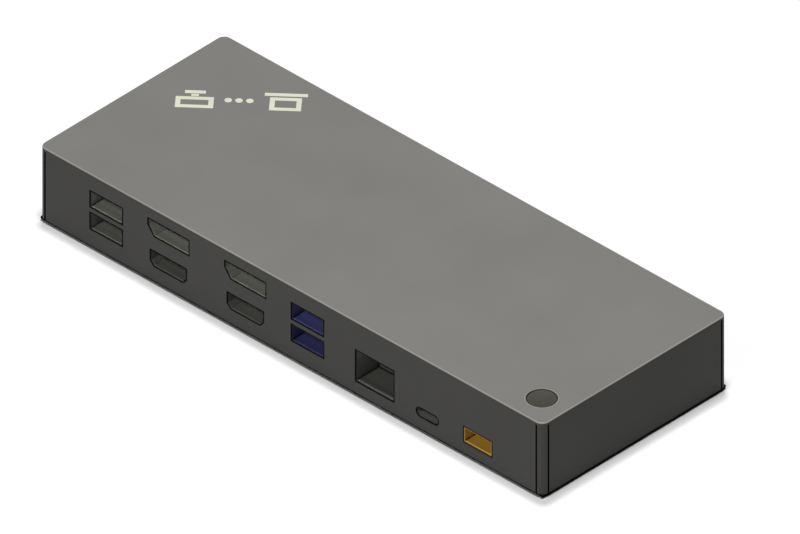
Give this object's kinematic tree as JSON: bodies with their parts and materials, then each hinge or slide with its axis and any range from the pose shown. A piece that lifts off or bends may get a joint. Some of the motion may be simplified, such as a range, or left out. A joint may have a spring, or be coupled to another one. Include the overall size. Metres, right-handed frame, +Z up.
{
  "type": "laptop docking station",
  "caption": "Flat slab docking station with a row of stacked sockets along one long face, rounded corners and a round lit power button on top.",
  "frame": {"origin": "centre of the footprint at the bottom of the feet", "axes": "+Z up, -Y out of the port face, +X to the right seen from the port face"},
  "size_m": [0.2, 0.0764, 0.0262],
  "materials": {
    "housing_plastic": "fine spark-eroded texture, matte dark grey",
    "panel_plastic": "fine texture, matte dark grey",
    "cap_plastic": "satin dark grey",
    "light_ring": "translucent light guide, satin",
    "pictogram_ink": "off-white satin inlay",
    "foot_rubber": "matte soft rubber",
    "label_paper": "blank satin polyester label",
    "screw_steel": "zinc plated",
    "shell_steel": "nickel plated, satin",
    "sheet_steel": "bare sheet steel",
    "spreader_metal": "mill finish",
    "black_insulator": "moulded, matte black",
    "blue_insulator": "moulded, satin blue",
    "yellow_plastic": "moulded, satin yellow",
    "contact_gold": "gold flashed",
    "board_laminate": "solder resist over glass laminate",
    "chip_package": "moulded epoxy",
    "pad_silicone": "soft silicone pad",
    "can_metal": "drawn can",
    "led_lens": "clear lens"
  },
  "bodies": {
    "dock": {"audio_jack": "black_insulator", "badge_inlay": "pictogram_ink", "ballast_plate": "sheet_steel", "base_cover": "housing_plastic", "board_screws": "screw_steel", "button_board": "board_laminate", "button_board_screws": "screw_steel", "button_header": "black_insulator", "button_ring": "light_ring", "button_switch": "black_insulator", "case_screws": "screw_steel", "display_hub_chip": "chip_package", "displayport_left_shell": "shell_steel", "displayport_right_shell": "shell_steel", "end_plate_left": "panel_plastic", "end_plate_right": "panel_plastic", "ethernet_contacts": "contact_gold", "ethernet_insert": "black_insulator", "ethernet_shell": "shell_steel", "ethernet_transformer": "chip_package", "filter_capacitors": "can_metal", "hdmi_left_shell": "shell_steel", "hdmi_right_shell": "shell_steel", "heat_spreader": "spreader_metal", "lock_bracket": "sheet_steel", "main_board": "board_laminate", "port_panel": "panel_plastic", "power_controller_chip": "chip_package", "power_inductors": "chip_package", "power_inlet": "yellow_plastic", "power_inlet_pin": "contact_gold", "power_leds": "led_lens", "rating_label": "label_paper", "rubber_feet": "foot_rubber", "spreader_pillars": "sheet_steel", "spreader_screws": "screw_steel", "switch_dome": "shell_steel", "thermal_pads": "pad_silicone", "top_cover": "housing_plastic", "usb_blue_contacts": "contact_gold", "usb_blue_insulator": "blue_insulator", "usb_blue_shell": "shell_steel", "usb_c_front_shell": "shell_steel", "usb_c_front_tongue": "black_insulator", "usb_c_host_shell": "shell_steel", "usb_c_host_tongue": "black_insulator", "usb_front_contacts": "contact_gold", "usb_front_insulator": "black_insulator", "usb_front_shell": "shell_steel", "usb_grey_contacts": "contact_gold", "usb_grey_insulator": "black_insulator", "usb_grey_shell": "shell_steel", "usb_hub_chip": "chip_package", "user_panel": "panel_plastic", "video_carrier_left": "black_insulator", "video_carrier_right": "black_insulator", "video_tongues_left": "black_insulator", "video_tongues_right": "black_insulator"},
    "power_button": {"power_button": "cap_plastic", "switch_plunger": "black_insulator"}
  },
  "joints": [
    {"name": "power_button_press", "type": "slide", "parent": "dock", "child": "power_button", "axis": [0, 0, -1], "range_m": [0, 0.0006], "stiffness_N_per_m": 1500, "springref_m": -0.0004, "deforming": ["switch_dome"]}
  ]
}
